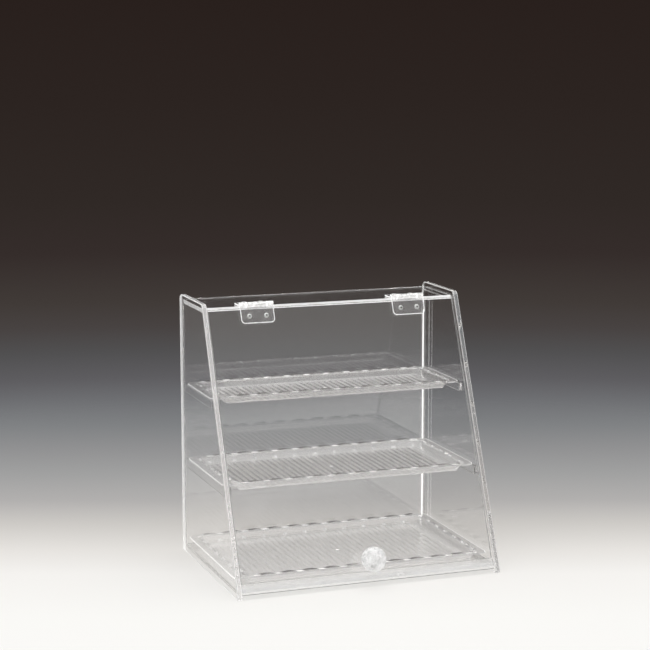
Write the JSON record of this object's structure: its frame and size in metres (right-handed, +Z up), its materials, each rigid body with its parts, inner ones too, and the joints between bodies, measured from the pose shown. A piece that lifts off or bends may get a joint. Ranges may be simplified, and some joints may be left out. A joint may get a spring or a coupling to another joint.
{
  "type": "bakery display case",
  "caption": "Clear countertop display case with leaning front door on top hinges, ball knob and pull-out trays on side rails.",
  "frame": {"origin": "centre of the bounding box's footprint, on the table top under the case", "axes": "+X to the right when facing the door, +Y to the rear, +Z up"},
  "size_m": [0.33, 0.2525, 0.325],
  "materials": {
    "acrylic_sheet": "clear colourless cast acrylic sheet with polished edges",
    "tray_plastic": "clear moulded plastic, ribbed and glossy",
    "knob_acrylic": "clear polished acrylic ball",
    "hinge_plastic": "clear moulded hinge plastic",
    "pin_nylon": "natural nylon rod",
    "screw_steel": "bright plated steel"
  },
  "bodies": {
    "case": {"side_panel_left": "acrylic_sheet", "side_panel_right": "acrylic_sheet", "back_panel": "acrylic_sheet", "top_panel": "acrylic_sheet", "base_panel": "acrylic_sheet", "front_riser": "acrylic_sheet", "tray_rail_top_left": "acrylic_sheet", "tray_rail_top_right": "acrylic_sheet", "tray_rail_middle_left": "acrylic_sheet", "tray_rail_middle_right": "acrylic_sheet", "hinge_left_frame_leaf": "hinge_plastic", "hinge_left_pin": "pin_nylon", "hinge_left_frame_screw_1": "screw_steel", "hinge_left_frame_screw_2": "screw_steel", "hinge_right_frame_leaf": "hinge_plastic", "hinge_right_pin": "pin_nylon", "hinge_right_frame_screw_1": "screw_steel", "hinge_right_frame_screw_2": "screw_steel"},
    "door": {"door_panel": "acrylic_sheet", "door_knob": "knob_acrylic", "knob_screw": "screw_steel", "hinge_left_door_leaf": "hinge_plastic", "hinge_left_door_screw_1": "screw_steel", "hinge_left_door_screw_2": "screw_steel", "hinge_right_door_leaf": "hinge_plastic", "hinge_right_door_screw_1": "screw_steel", "hinge_right_door_screw_2": "screw_steel"},
    "tray_top": {"tray_top": "tray_plastic"},
    "tray_middle": {"tray_middle": "tray_plastic"},
    "tray_bottom": {"tray_bottom": "tray_plastic"}
  },
  "joints": [
    {"name": "door_hinge", "type": "hinge", "parent": "case", "child": "door", "pos_m": [0, 0.02877, 0.3217], "axis": [-1, 0, 0], "range_deg": [0, 220]},
    {"name": "tray_top_slide", "type": "slide", "parent": "case", "child": "tray_top", "axis": [0, -1, 0], "range_m": [0, 0.011]},
    {"name": "tray_middle_slide", "type": "slide", "parent": "case", "child": "tray_middle", "axis": [0, -1, 0], "range_m": [0, 0.005]},
    {"name": "tray_bottom_slide", "type": "slide", "parent": "case", "child": "tray_bottom", "axis": [0, -1, 0], "range_m": [0, 0.005]}
  ]
}
